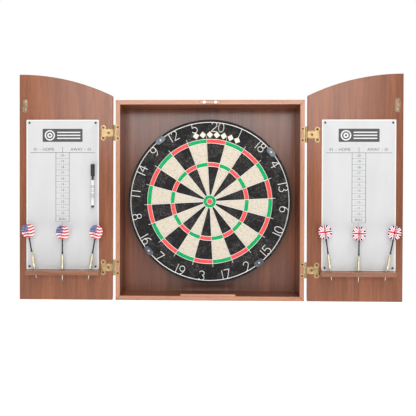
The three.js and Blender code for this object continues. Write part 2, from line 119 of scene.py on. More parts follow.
def own_place(mat):
    """Where a point lies on its own object, in metres."""
    return shade(mat, "TexCoord", {}, "Object")


def noise(mat, place, scale, detail=2, **settings):
    """Soft random clouds, about as many to the metre as the scale."""
    return shade(mat, "TexNoise", {"Vector": place, "Scale": scale, "Detail": detail, **settings})


def ramp(mat, value, stops):
    """Colours at positions from 0 to 1 along a value, smooth between them."""
    output = shade(mat, "ValToRGB", {"Fac": value})
    elements = output.node.color_ramp.elements
    while len(elements) < len(stops):
        elements.new(0.5)
    for element, (position, colour) in zip(elements, stops):
        element.position = position
        element.color = colour
    return output


def wear(mat, colour, height=None, strength=0.2, distance=0.2 * mm, roughness=None):
    """Joins a colour, a bump height and a varying roughness to the material's shader."""
    links = mat.node_tree.links
    shader = mat.node_tree.nodes["Principled BSDF"]
    links.new(colour, shader.inputs["Base Color"])
    if height is not None:
        bump = shade(mat, "Bump", {"Height": height, "Strength": strength, "Distance": distance})
        links.new(bump, shader.inputs["Normal"])
    if roughness is not None:
        links.new(roughness, shader.inputs["Roughness"])


def soft_light(name, place, aim, width, height, watts):
    lamp = bpy.data.lights.new(name, "AREA")
    lamp.shape = "RECTANGLE"
    lamp.size = width
    lamp.size_y = height
    lamp.energy = watts
    stand = bpy.data.objects.new(name, lamp)
    stand.location = place
    stand.rotation_euler = (Vector(aim) - Vector(place)).to_track_quat("-Z", "Y").to_euler()
    bpy.context.scene.collection.objects.link(stand)


def set_studio():
    middle = (cad_box[0] + cad_box[1]) / 2
    soft_light("key_light", (0.5, -1.7, 2.0), middle, width=2.2, height=1.2, watts=28)
    soft_light("sheen_light", (0, -2.6, 0.8), middle, width=2.3, height=0.9, watts=30)
    world = bpy.data.worlds.new("surround")
    bpy.context.scene.world = world
    world.use_nodes = True
    tree = world.node_tree
    lighting = tree.nodes["Background"]
    lighting.inputs["Strength"].default_value = 0.1
    lighting.inputs["Color"].default_value = pure_white
    seen = tree.nodes.new("ShaderNodeBackground")
    seen.inputs["Color"].default_value = pure_white
    mix = tree.nodes.new("ShaderNodeMixShader")
    path = tree.nodes.new("ShaderNodeLightPath")
    tree.links.new(path.outputs["Is Camera Ray"], mix.inputs["Fac"])
    tree.links.new(lighting.outputs[0], mix.inputs[1])
    tree.links.new(seen.outputs[0], mix.inputs[2])
    tree.links.new(mix.outputs[0], tree.nodes["World Output"].inputs["Surface"])

    mat = finish_named("floor", 0.9, Emission_Color=pure_white, Emission_Strength=0.95)
    place = own_place(mat)
    mottle = noise(mat, place, 3.0)
    wear(mat, ramp(mat, mottle, [(0, (0.86, 0.86, 0.86, 1)), (1, (0.92, 0.92, 0.92, 1))]))
    floor_z = cad_box[0].z - floor_drop
    corners = [
        (across * floor_reach, along * floor_reach, floor_z)
        for across, along in ((-1, -1), (1, -1), (1, 1), (-1, 1))
    ]
    mesh = bpy.data.meshes.new("floor")
    mesh.from_pydata(corners, [], [(0, 1, 2, 3)])
    mesh.materials.append(mat)
    floor = bpy.data.objects.new("floor", mesh)
    bpy.context.scene.collection.objects.link(floor)
    bpy.context.scene.view_settings.view_transform = "Standard"


def set_camera():
    """The camera a little over a metre and a half before the front edge, turned slightly left."""
    place = Vector((0.0036, -1.6757, 0.0052))
    turn, dip, roll = -0.0271, -0.0094, 0.0027
    ahead = Vector((sin(turn) * cos(dip), cos(turn) * cos(dip), sin(dip)))
    level = ahead.cross(Vector((0, 0, 1))).normalized()
    above = level.cross(ahead)
    right = level * cos(roll) + above * sin(roll)
    up = right.cross(ahead)
    lens = bpy.data.cameras.new("camera")
    lens.sensor_width = 36
    lens.lens = 51.07
    lens.shift_x = 0.0313
    lens.shift_y = -0.0096
    camera = bpy.data.objects.new("camera", lens)
    turned_to = Matrix((right, up, -ahead)).transposed().to_4x4()
    camera.matrix_world = Matrix.Translation(place) @ turned_to
    bpy.context.scene.collection.objects.link(camera)
    bpy.context.scene.camera = camera


set_studio()
set_camera()

# ---------------------------------------------------------------- cabinet panels
# Four boards faced with walnut veneer and mitred at the corners, each rebated behind for the back.
# Their front edges carry a paler glued band, and every long edge is eased with fine sandpaper.

walnut_pale = tint(154, 91, 55)
walnut_mid = tint(131, 72, 41)
walnut_dark = tint(113, 60, 34)
pore_brown = tint(64, 38, 28)


def calculate(mat, operation, first, second=0.0, third=0.0):
    return shade(mat, "Math", {0: first, 1: second, 2: third}, operation=operation)


def mixed(mat, share, first, second, **settings):
    """The first colour, covered by a share of the second."""
    return shade(mat, "MixRGB", {"Fac": share, "Color1": first, "Color2": second}, **settings)


def gloss_from(mat, value, low, high):
    """A roughness that runs from low to high as a value runs from 0 to 1."""
    return shade(mat, "MapRange", {"Value": value, "To Min": low, "To Max": high})


def walnut(name, grain, pale=walnut_pale, mid=walnut_mid, dark=walnut_dark, shift=0.0, lacquer=0.75):
    """Straight-grained veneer: noise drawn out along the grain at three widths, for the broad
    figure, the streaks and the short open pores, under a satin lacquer."""
    mat = finish_named(name, 0.5, Specular_IOR_Level=0.3, Coat_Weight=lacquer, Coat_Roughness=0.2)
    place = own_place(mat)
    drawn = {"x": (0.05, 1, 1), "y": (1, 0.05, 1), "z": (1, 1, 0.05)}[grain]
    along = shade(mat, "Mapping", {"Vector": place, "Scale": drawn, "Location": (shift, shift, shift)})
    figure = noise(mat, along, 26, 3, Distortion=1.1)
    streak = noise(mat, along, 150, 5, Roughness=0.65)
    pore = noise(mat, along, 900)
    streaked = calculate(mat, "MULTIPLY", streak, 0.45)
    figured = calculate(mat, "MULTIPLY_ADD", figure, 0.55, streaked)
    wood = ramp(mat, figured, [(0.33, dark), (0.48, mid), (0.64, pale)])
    open_pore = ramp(mat, pore, [(0.34, (1, 1, 1, 1)), (0.42, (0, 0, 0, 1))])
    inked = calculate(mat, "MULTIPLY", open_pore, 0.3)
    grained = mixed(mat, inked, wood, pore_brown)
    gloss = gloss_from(mat, streak, 0.45, 0.6)
    wear(mat, grained, pore, 0.25, 0.1 * mm, gloss)
    return mat


def softened(node, width, mats, second=None, segments=3):
    """A copy of a CAD solid fit to show: triangles merged, flat neighbours joined, and each sharp
    edge rounded to the width. second says which face directions take the second material."""
    source = frame["nodes"][node]
    solid = bmesh.new()
    solid.from_mesh(source.data)
    bmesh.ops.remove_doubles(solid, verts=solid.verts, dist=0.001 * mm)
    bmesh.ops.dissolve_limit(solid, angle_limit=radians(1), verts=solid.verts, edges=solid.edges)
    for face in solid.faces:
        face.smooth = True
        face.material_index = int(second is not None and second(face.normal))
    mesh = bpy.data.meshes.new(node + "_eased")
    solid.to_mesh(mesh)
    solid.free()
    mesh.set_sharp_from_angle(angle=radians(32))
    for mat in mats:
        mesh.materials.append(mat)
    shown = bpy.data.objects.new(node + "_eased", mesh)
    bpy.context.scene.collection.objects.link(shown)
    bevel = shown.modifiers.new("rounded_edges", "BEVEL")
    bevel.width = width
    bevel.segments = segments
    bevel.limit_method = "ANGLE"
    bevel.angle_limit = radians(32)
    bevel.harden_normals = True
    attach(shown, source["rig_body"])
    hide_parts(node)
    return shown


upright_walnut = walnut("walnut_upright", "z")
level_walnut = walnut("walnut_level", "x", shift=0.37)
band_colours = dict(pale=tint(196, 139, 108), mid=tint(182, 125, 94), dark=tint(162, 107, 79))
upright_band = walnut("edge_band_upright", "z", **band_colours)
level_band = walnut("edge_band_level", "x", **band_colours)


def faces_front(normal):
    return normal.y < -0.9


for node in ("top_panel", "bottom_panel"):
    softened(node, 0.7 * mm, [level_walnut, level_band], faces_front)
for node in ("left_side_panel", "right_side_panel"):
    softened(node, 0.7 * mm, [upright_walnut, upright_band], faces_front)

# ---------------------------------------------------------------- back panel
# A thin fibreboard sheet, veneered on the side that shows and bare brown behind, dropped into the
# rebate and stapled to the four boards from the back.


def fibreboard():
    """Pressed brown fibre: fine mottling under a very fine felted grain."""
    mat = finish_named("fibreboard", 0.8)
    place = own_place(mat)
    mottle = noise(mat, place, 90, 8, Roughness=0.75)
    felt = noise(mat, place, 1200, 3)
    brown = ramp(mat, mottle, [(0.3, tint(116, 86, 62)), (0.7, tint(134, 102, 74))])
    wear(mat, brown, felt, 0.3, 0.1 * mm)
    return mat


# Painted shade: the back panel, deep inside the cabinet, takes a darker copy of the same walnut veneer.
shaded_back_walnut = walnut(
    "walnut_back_painted_shade", "z", tint(142, 80, 47), tint(118, 62, 34), tint(101, 51, 28), shift=0.21, lacquer=1.0
)
softened(
    "back_panel", 0.4 * mm, [shaded_back_walnut, fibreboard()], lambda normal: normal.y > -0.9
)


def skin(grid):
    """The surface through a grid of points, one four-sided face to each step across and along,
    with the first material on every face."""
    rows, columns = grid.shape[:2]
    number = np.arange(rows * columns).reshape(rows, columns)
    corners = [number[:-1, :-1], number[:-1, 1:], number[1:, 1:], number[1:, :-1]]
    quads = np.stack(corners, -1).reshape(-1, 4)
    return grid.reshape(-1, 3), quads, np.zeros(len(quads), int)


def wire_along(path, radius, flat, sides, closed=False):
    """Round wire along a path in one plane, whose normal is flat: at each point a circle square to
    the path, and at each open end three shrinking circles that make a dome."""
    path = np.asarray(path, float)
    flat = np.asarray(flat, float)
    if closed:
        heading = np.roll(path, -1, 0) - np.roll(path, 1, 0)
    else:
        heading = np.gradient(path, axis=0)
    heading /= np.linalg.norm(heading, axis=1, keepdims=True)
    size = np.full(len(path), radius)
    if closed:
        path, heading, size = (np.concatenate([a, a[:1]]) for a in (path, heading, size))
    else:
        lean = np.array([1.0, 0.75, 0.4]) * pi / 2
        out = (radius * np.sin(lean))[:, None]
        path = np.concatenate([path[:1] - heading[:1] * out, path, path[-1:] + heading[-1:] * out[::-1]])
        size = np.concatenate([radius * np.cos(lean), size, radius * np.cos(lean[::-1])])
        heading = np.concatenate([heading[:1].repeat(3, 0), heading, heading[-1:].repeat(3, 0)])
    across = np.cross(heading, flat)
    angle = np.linspace(0, 2 * pi, sides + 1)[:, None]
    circle = np.cos(angle) * across[:, None, :] + np.sin(angle) * flat
    return skin(path[:, None, :] + size[:, None, None] * circle)


def piece(name, shells, mats, body, replaces=(), crease=35, print_place=None):
    """One finished object from several closed surfaces. Points that coincide are merged, which
    closes seams and poles, and every face is turned outwards."""
    points, faces, indices = [], [], []
    start = 0
    for shell_points, shell_faces, shell_index in shells:
        points.append(shell_points)
        faces.extend([corner + start for corner in face] for face in shell_faces)
        indices.append(shell_index)
        start += len(shell_points)
    mesh = bpy.data.meshes.new(name)
    mesh.from_pydata(np.concatenate(points).tolist(), [], faces)
    mesh.polygons.foreach_set("material_index", np.concatenate(indices).astype(np.int32))
    if print_place is not None:
        attribute = mesh.attributes.new("print_place", "FLOAT_VECTOR", "POINT")
        attribute.data.foreach_set("vector", np.asarray(print_place, np.float32).ravel())
    solid = bmesh.new()
    solid.from_mesh(mesh)
    bmesh.ops.remove_doubles(solid, verts=solid.verts, dist=0.0005 * mm)
    bmesh.ops.recalc_face_normals(solid, faces=solid.faces)
    for face in solid.faces:
        face.smooth = True
    solid.to_mesh(mesh)
    solid.free()
    mesh.set_sharp_from_angle(angle=radians(crease))
    for mat in mats:
        mesh.materials.append(mat)
    shown = bpy.data.objects.new(name, mesh)
    bpy.context.scene.collection.objects.link(shown)
    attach(shown, body)
    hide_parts(*replaces)
    return shown


def bright_metal(name, pale, dark, roughness, metallic=1.0):
    """Plated or polished metal: very fine scratches all over and slow patches of tarnish."""
    mat = finish_named(name, roughness, metallic)
    place = own_place(mat)
    scratch = noise(mat, place, 1500, 4)
    patch = noise(mat, place, 120, 5, Roughness=0.7)
    colour = ramp(mat, patch, [(0.3, dark), (0.65, pale)])
    gloss = gloss_from(mat, patch, roughness - 0.08, roughness + 0.14)
    wear(mat, colour, scratch, 0.12, 0.02 * mm, gloss)
    return mat


zinc = bright_metal("zinc_steel", tint(214, 217, 220), tint(176, 180, 184), 0.3)


staple_wire = 0.4 * mm
staple_inset = 3.5 * mm


def staple(x, z, along_x):
    """A flat-topped staple: its crown lies on the back face and its two ends turn in."""
    half, lift, sink = 5 * mm, 0.45 * mm, 2 * mm
    run = np.array([-half, -half, -half * 0.9, 0, half * 0.9, half, half])
    out = np.array([-sink, -lift, lift * 0.3, lift * 0.3, lift * 0.3, -lift, -sink])
    y = back_face - lift + out
    if along_x:
        return wire_along(np.stack([x + run, y, np.full(7, z)], 1), staple_wire, (0, 0, 1), 6)
    return wire_along(np.stack([np.full(7, x), y, z + run], 1), staple_wire, (1, 0, 0), 6)


back_low, back_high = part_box("back_panel")
back_face = back_high.y
staples = []
for share in np.linspace(-0.42, 0.42, 5):
    x = share * (back_high.x - back_low.x)
    z = share * (back_high.z - back_low.z)
    for end in (back_low.z + staple_inset, back_high.z - staple_inset):
        staples.append(staple(x, end, True))
    for end in (back_low.x + staple_inset, back_high.x - staple_inset):
        staples.append(staple(end, z, False))
piece("back_staples", staples, [zinc], "cabinet")

# ---------------------------------------------------------------- floor strip
# A square stick of bare pale wood pinned along the front of the cabinet's floor, which the closed
# doors stop against.

strip_wood = walnut(
    "strip_wood", "x", tint(216, 160, 130), tint(202, 144, 114), tint(184, 126, 98), shift=0.6
)
softened("floor_strip", 0.5 * mm, [strip_wood])

# ---------------------------------------------------------------- magnetic catch
# A moulded tan block let into the front edge of the top board, with two nickelled round magnets
# pressed into it that stand a little proud.


def scaled(colour, share, added=0.0):
    """A colour whose three parts are scaled and then raised."""
    return tuple(share * part + added for part in colour[:3]) + (1.0,)


def moulded(name, colour, roughness):
    """Moulded plastic: an even colour with a slight cloud in it and a fine orange-peel skin."""
    mat = finish_named(name, roughness)
    place = own_place(mat)
    cloud = noise(mat, place, 60, 3)
    peel = noise(mat, place, 900)
    deeper = scaled(colour, 0.82)
    gloss = gloss_from(mat, cloud, roughness - 0.06, roughness + 0.08)
    wear(mat, ramp(mat, cloud, [(0.3, deeper), (0.7, colour)]), peel, 0.15, 0.05 * mm, gloss)
    return mat


def recoat(node, mat):
    """A CAD node that is shown as it is takes a new material in its object's slots."""
    shown = frame["nodes"][node]
    if not shown.material_slots:
        shown.data.materials.append(mat)
    for holder in shown.material_slots:
        holder.material = mat


softened("catch_housing", 0.5 * mm, [moulded("grey_plastic", tint(206, 168, 148), 0.45)])
nickel = bright_metal("magnet_nickel", tint(252, 252, 250), tint(236, 236, 236), 0.5)
recoat("left_magnet", nickel)
recoat("right_magnet", nickel)

# ---------------------------------------------------------------- board bracket
# A pressed zinc plate screwed through its two feet to the back, whose raised middle has a slot for
# the screw in the centre of the board. The board hangs and turns on that screw.

screw_seat = 0.2 * mm
bracket_plate = 1.5 * mm
bracket_screw_radius = 3.2 * mm
bracket_screw_in = 7 * mm
bracket_screw_up = 14 * mm


def screw_head(x, y, z, radius, twist, rise=0.35):
    """A crowned cross-head screw facing -Y: its height over a circle is rise times the radius times
    sqrt(1 - 0.85 share^2), less 0.3 of the radius in a cross of two slots, and a flat underside
    closes it a little inside what it holds."""
    share = np.array([0, 0.12, 0.24, 0.36, 0.5, 0.56, 0.68, 0.8, 0.9, 0.97, 1.0])[:, None]
    angle = np.linspace(0, 2 * pi, 49)[None, :]
    across = share * np.cos(angle)
    along = share * np.sin(angle)
    in_cross = (np.minimum(abs(across), abs(along)) < 0.13) & (share < 0.55)
    height = radius * rise * np.sqrt(np.clip(1 - 0.85 * share**2, 0, 1)) - radius * 0.3 * in_cross
    turned_across = across * cos(twist) - along * sin(twist)
    turned_along = across * sin(twist) + along * cos(twist)
    top = np.stack([x + radius * turned_across, y - height, z + radius * turned_along], 2)
    rim = top[-1:].copy()
    rim[:, :, 1] = y + screw_seat
    underside = rim.copy()
    underside[:] = (x, y + screw_seat, z)
    return skin(np.concatenate([top, rim, underside]))


softened("board_bracket", 0.3 * mm, [zinc])
recoat("hanging_screw", zinc)
bracket_low, bracket_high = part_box("board_bracket")
bracket_screws = [
    screw_head(x, bracket_high.y - bracket_plate, z, bracket_screw_radius, twist)
    for x, twist in ((bracket_low.x + bracket_screw_in, 0.3), (bracket_high.x - bracket_screw_in, 1.1))
    for z in (bracket_low.z + bracket_screw_up, bracket_high.z - bracket_screw_up)
]
piece("bracket_screws", bracket_screws, [zinc], "cabinet")

# ---------------------------------------------------------------- board discs and band
# The playing face is a disc of sisal rope ends pressed together, dyed in beds, glued to a thinner
# chipboard disc. A black steel band is shrunk round both, its edges rolled over.

rim_low, rim_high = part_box("rim_band")
board_x = (rim_low.x + rim_high.x) / 2
board_z = (rim_low.z + rim_high.z) / 2
board_radius = (rim_high.x - rim_low.x) / 2
board_front = rim_low.y
board_turn = radians(6)
bed_count = 20
bed_angle = 2 * pi / bed_count
board_sides = 240
bull_radius, outer_bull_radius = 7.7 * mm, 17.5 * mm
treble_inner, treble_outer = 96.5 * mm, 107.5 * mm
double_inner, double_outer = 160.5 * mm, 171.5 * mm


def sisal(name, colour, stray):
    """Cut rope ends: each tiny cell of fibre takes the dye a little differently, and the ends
    stand at slightly different heights. Here and there a stray fibre lies flat, curling pale
    across the face; stray says how plainly those show."""
    mat = finish_named(name, 0.9, Specular_IOR_Level=0.2, Sheen_Weight=0.15)
    place = own_place(mat)
    cell = shade(mat, "TexVoronoi", {"Vector": place, "Scale": 700}, "Color")
    uneven = noise(mat, place, 160, 8, Roughness=0.8)
    darker = scaled(colour, 0.62)
    paler = scaled(colour, 0.88, 0.05)
    dyed = ramp(mat, uneven, [(0.34, darker), (0.5, colour), (0.72, paler)])
    grey = shade(mat, "RGBToBW", {"Color": cell})
    speckled = mixed(mat, 0.16, dyed, grey, blend_type="OVERLAY")
    curl = noise(mat, place, 75, Distortion=3.5)
    from_ridge = calculate(mat, "ABSOLUTE", calculate(mat, "SUBTRACT", curl, 0.5))
    on_ridge = calculate(mat, "LESS_THAN", from_ridge, 0.012)
    sparse = noise(mat, place, 34, 1)
    patchy = calculate(mat, "GREATER_THAN", sparse, 0.5)
    fibre = calculate(mat, "MULTIPLY", calculate(mat, "MULTIPLY", on_ridge, patchy), stray)
    flecked = mixed(mat, fibre, speckled, tint(196, 190, 178))
    wear(mat, flecked, grey, 0.35, 0.15 * mm)
    return mat


def bed_colours(radii, around):
    """Material of each face from its ring and its bed: 0 black, 1 cream, 2 red, 3 green."""
    ring = ((radii[:-1] + radii[1:]) / 2)[:, None]
    bed = (np.arange(around) * bed_count // around)[None, :]
    pale_bed = bed % 2
    single = pale_bed * np.ones_like(ring)
    bright = 2 + pale_bed * np.ones_like(ring)
    in_bright = ((ring > treble_inner) & (ring < treble_outer)) | (
        (ring > double_inner) & (ring < double_outer)
    )
    colour = np.where(in_bright, bright, single)
    colour = np.where(ring < outer_bull_radius, 3, colour)
    colour = np.where(ring < bull_radius, 2, colour)
    return np.where(ring > double_outer, 0, colour).astype(int).ravel()


def around_board(radii, ys, sides, first=0.0):
    """Rows of points round the board's axis, one circle to each radius and Y; angles run clockwise
    from the top."""
    angle = first + np.linspace(0, 2 * pi, sides + 1)[None, :]
    radii = np.asarray(radii)[:, None]
    ys = np.asarray(ys)[:, None] * np.ones_like(angle)
    return np.stack([board_x + radii * np.sin(angle), ys, board_z + radii * np.cos(angle)], 2)


def make_sisal_disc():
    face_low, face_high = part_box("sisal_face")
    edge = (face_high.x - face_low.x) / 2
    rings = [bull_radius, outer_bull_radius, treble_inner, treble_outer, double_inner, double_outer]
    between = np.array([0, 4, 12, 42, 70, 102, 125, 144, 166, 190, 210]) * mm
    steps = np.sort(np.concatenate([rings, between]))
    eased, easing = 1 * mm, 0.3 * mm
    radii = np.concatenate([steps, [edge - eased, edge - easing, edge, edge, 0]])
    ys = np.full(len(radii), face_low.y)
    ys[-4:-2] += np.array([easing, eased])
    ys[-2:] = face_high.y
    points, quads, _ = skin(around_board(radii, ys, board_sides, board_turn - bed_angle / 2))
    out_of_beds = 1.0
    on_the_face = np.arange(len(radii)) < len(radii) - 3
    colours = bed_colours(np.where(on_the_face, radii, out_of_beds), board_sides)
    dyes = [
        sisal("sisal_black", tint(32, 30, 31), 0.27),
        sisal("sisal_cream", tint(219, 208, 189), 0.2),
        sisal("sisal_red", tint(250, 88, 84), 0.1),
        sisal("sisal_green", tint(2, 172, 98), 0.1),
    ]
    piece("sisal_disc", [(points, quads, colours)], dyes, "board", ["sisal_face"])


def printed(name, colour):
    """Screen ink, a little thin where the mesh of the screen missed."""
    mat = finish_named(name, 0.5)
    place = own_place(mat)
    thin = noise(mat, place, 900)
    faded = scaled(colour, 0.8, 0.08)
    wear(mat, ramp(mat, thin, [(0.35, faded), (0.6, colour)]))
    return mat


def make_board_marks():
    """A row of seven lozenges printed across the board's own top, each a slanted square whose
    corners point outwards, inwards and along the row."""
    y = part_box("sisal_face")[0].y
    ink, rise, reach = 0.1 * mm, 9.5 * mm, 9 * mm
    row_radius, row_half_turn = 184 * mm, 18
    scale = np.array([0, 1, 1, 0])[:, None, None]
    level = np.array([0, 0, -ink, -ink])[:, None, None]
    corner = np.array([[1, 0], [0, 1], [-1, 0], [0, -1], [1, 0]])[None, :, :]
    shells = []
    for angle in board_turn + np.radians(np.linspace(-row_half_turn, row_half_turn, 7)):
        outward = np.array([sin(angle), 0, cos(angle)])
        along = np.array([cos(angle), 0, -sin(angle)])
        centre = np.array([board_x, y, board_z]) + row_radius * outward
        spread = corner[..., :1] * along * reach + corner[..., 1:] * outward * rise
        shells.append(skin(centre + scale * spread + level * np.array([0, 1, 0])))
    piece("board_marks", shells, [printed("board_paint", tint(232, 226, 208))], "board")


def chipboard():
    """Flakes of wood pressed together, each cell its own brown."""
    mat = finish_named("chipboard", 0.85)
    place = own_place(mat)
    flake = shade(mat, "TexVoronoi", {"Vector": place, "Scale": 260}, "Color")
    grey = shade(mat, "RGBToBW", {"Color": flake})
    brown = ramp(mat, grey, [(0.2, tint(126, 96, 64)), (0.8, tint(190, 158, 116))])
    wear(mat, brown, grey, 0.4, 0.2 * mm)
    return mat


def make_rim_band():
    """A flat strip bent into a hoop whose two edges roll inwards in quarter circles."""
    thick, roll = 1.2 * mm, 0.5 * mm
    bend = np.linspace(0, pi, 7)
    front = np.stack([board_radius - thick / 2 + np.cos(bend) * thick / 2, -np.sin(bend) * roll], 1)
    back = front[::-1] * [1, -1]
    front += [0, board_front + roll]
    section = np.concatenate([front, back + [0, rim_high.y - roll], front[:1]])
    mat = finish_named("black_band", 0.42, 0.0, Specular_IOR_Level=0.6)
    place = own_place(mat)
    chip = noise(mat, place, 420, 4)
    paint = ramp(mat, chip, [(0.62, tint(26, 26, 27)), (0.78, tint(70, 70, 70))])
    wear(mat, paint, chip, 0.1, 0.05 * mm)
    hoop = skin(around_board(section[:, 0], section[:, 1], board_sides))
    piece("steel_band", [hoop], [mat], "board", ["rim_band"])


make_sisal_disc()
make_board_marks()
recoat("backing_board", chipboard())
make_rim_band()

# ---------------------------------------------------------------- wire spider
# Round steel wire welded into a web over the beds: six rings and twenty spokes, whose outer ends
# turn down and are driven into the sisal past the double ring.

# Painted highlight: the wire is made near white and only half metal, so it shows as bright as its highlights
# under any light. The clip rivets take it too.
highlight_white_wire = bright_metal("steel_wire", tint(248, 247, 243), tint(228, 227, 223), 0.42, metallic=0.55)
spider_low, spider_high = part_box("wire_spider")
spider_wire = 0.7 * mm
spider_y = (spider_low.y + spider_high.y) / 2


def ring_wire(radius, y, wire_radius, steps):
    """A closed ring of wire about the board's axis."""
    angle = np.linspace(0, 2 * pi, steps, endpoint=False)
    x = board_x + radius * np.sin(angle)
    z = board_z + radius * np.cos(angle)
    return wire_along(np.stack([x, np.full(steps, y), z], 1), wire_radius, (0, 1, 0), 8, closed=True)


def spoke_wire(angle):
    """Straight out from the bull, then a quarter turn into the board: past the bend's start the
    distance out grows by the sine of the bend's angle and the depth by one less its cosine."""
    outer = (spider_high.x - spider_low.x) / 2 - spider_wire
    turn = 1.6 * mm
    straight = [outer_bull_radius, 60 * mm, 120 * mm]
    bend = np.linspace(0, pi / 2, 5)
    radial = np.concatenate([straight, outer - turn + turn * np.sin(bend)])
    depth = np.concatenate([[0, 0, 0], turn * (1 - np.cos(bend))])
    path = np.stack([board_x + radial * sin(angle), spider_y + depth, board_z + radial * cos(angle)], 1)
    return wire_along(path, spider_wire, (cos(angle), 0, -sin(angle)), 8)


web_rings = [
    ring_wire(radius, spider_y, spider_wire, steps)
    for radius, steps in (
        (bull_radius, 32),
        (outer_bull_radius, 48),
        (treble_inner, 160),
        (treble_outer, 160),
        (double_inner, 200),
        (double_outer, 200),
    )
]
spokes = [spoke_wire(board_turn + (bed + 0.5) * bed_angle) for bed in range(bed_count)]
piece("wire_web", web_rings + spokes, [highlight_white_wire], "board", ["wire_spider"])

# ---------------------------------------------------------------- number hoop
# A loose hoop of thicker wire with the twenty numbers bent from wire and welded inside it. Numbers
# above the middle stand with their heads on the hoop, and those below with their feet on it.

hoop_low, hoop_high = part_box("number_ring")
hoop_radius = (hoop_high.x - hoop_low.x) / 2 - (hoop_high.y - hoop_low.y) / 2
hoop_y = (hoop_low.y + hoop_high.y) / 2
hoop_wire = (hoop_high.y - hoop_low.y) / 2
number_wire = 1.05 * mm
number_height = 25 * mm
figure_step, narrow_step = 0.78, 0.56
number_order = (20, 1, 18, 4, 13, 6, 10, 15, 2, 17, 3, 19, 7, 16, 8, 11, 14, 9, 12, 5)


def bow(x, z, width, height, start, end):
    """Part of an ellipse about a centre, from one angle to another in degrees."""
    angle = np.radians(np.linspace(start, end, 24))
    return np.stack([x + width * np.cos(angle), z + height * np.sin(angle)], 1)


def bent(*corners):
    """Straight runs between corners, with points close either side of each corner."""
    corners = np.array(corners, float)
    runs = [a + (b - a) * np.array([[0.0], [0.06], [0.5], [0.94]]) for a, b in zip(corners, corners[1:])]
    return np.concatenate(runs + [corners[-1:]])


# each figure is one or two strokes in a box 0.6 wide and 1 high
strokes = {
    "0": [bow(0.3, 0.5, 0.29, 0.5, 0, 360)],
    "1": [bent((0.3, 0), (0.3, 1))],
    "2": [np.concatenate([bow(0.3, 0.71, 0.28, 0.29, 165, -35), bent((0.03, 0), (0.6, 0))])],
    "3": [np.concatenate([bow(0.28, 0.76, 0.27, 0.24, 150, -80), bow(0.28, 0.27, 0.3, 0.27, 80, -150)])],
    "4": [bent((0.45, 0), (0.45, 1), (0, 0.36), (0.62, 0.36))],
    "5": [np.concatenate([bent((0.55, 1), (0.1, 1), (0.06, 0.58)), bow(0.27, 0.31, 0.31, 0.31, 125, -145)])],
    "6": [np.concatenate([bow(0.52, 0.3, 0.5, 0.7, 95, 180), bow(0.3, 0.29, 0.28, 0.29, 180, 540)])],
    "7": [bent((0, 1), (0.58, 1), (0.2, 0))],
    "8": [bow(0.3, 0.76, 0.23, 0.24, -90, 270), bow(0.3, 0.27, 0.29, 0.27, 90, 450)],
    "9": [np.concatenate([bow(0.08, 0.7, 0.5, 0.7, -85, 0), bow(0.3, 0.71, 0.28, 0.29, 0, 360)])],
}


def number_wires(number, angle):
    """The figures side by side, laid on the board at an angle clockwise from the top."""
    flipped = cos(angle) < -0.15
    figures = str(number)
    step = narrow_step if "1" in figures else figure_step
    shells = []
    for place, figure in enumerate(figures):
        shift = (place - (len(figures) - 1) / 2) * step - 0.3
        for stroke in strokes[figure]:
            across = (stroke[:, 0] + shift) * number_height
            below = (1 - stroke[:, 1]) * number_height
            if flipped:
                across, below = -across, number_height - below
            radial = hoop_radius - below
            path = np.stack(
                [
                    board_x + radial * sin(angle) + across * cos(angle),
                    np.full(len(across), hoop_y),
                    board_z + radial * cos(angle) - across * sin(angle),
                ],
                1,
            )
            shells.append(wire_along(path, number_wire, (0, 1, 0), 8))
    return shells


hoop = [ring_wire(hoop_radius, hoop_y, hoop_wire, board_sides)]
for place, number in enumerate(number_order):
    hoop += number_wires(number, board_turn + place * bed_angle)
piece("number_hoop", hoop, [highlight_white_wire], "board", ["number_ring"])

# ---------------------------------------------------------------- hoop clips
# Four pressed obround clips bridge the hoop and are riveted to the board, so that the hoop can be
# lifted out and turned to share the wear.

rivet_radius = 2.4 * mm
clip_grey = bright_metal("clip_metal", tint(112, 116, 122), tint(72, 76, 82), 0.34)
for place in range(4):
    node = f"ring_clip_{place + 1}"
    softened(node, 0.8 * mm, [clip_grey], segments=4)
    clip_low, clip_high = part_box(node)
    middle = (clip_low + clip_high) / 2
    # The rivet heads take the wire's near-white painted highlight.
    rivet = screw_head(middle.x, clip_low.y, middle.z, rivet_radius, 0.0, rise=0.3)
    piece(f"clip_rivet_{place + 1}", [rivet], [highlight_white_wire], "board")

# ---------------------------------------------------------------- doors
# Two boards faced on both sides with walnut veneer, straight at the hinge edge and rising in one
# arc to the edge where they meet. The cut edges are banded and eased.


def on_the_edge(normal):
    return abs(normal.y) < 0.9


for side in ("left", "right"):
    softened(f"{side}_door_panel", 0.8 * mm, [upright_walnut, upright_band], on_the_edge)

# ---------------------------------------------------------------- hinges
# Flat brass hinges pressed from sheet: a leaf with two round ears on the cabinet's front edge, a
# two-lobed leaf on the door, a pin through their knuckles and five brass screws in each.

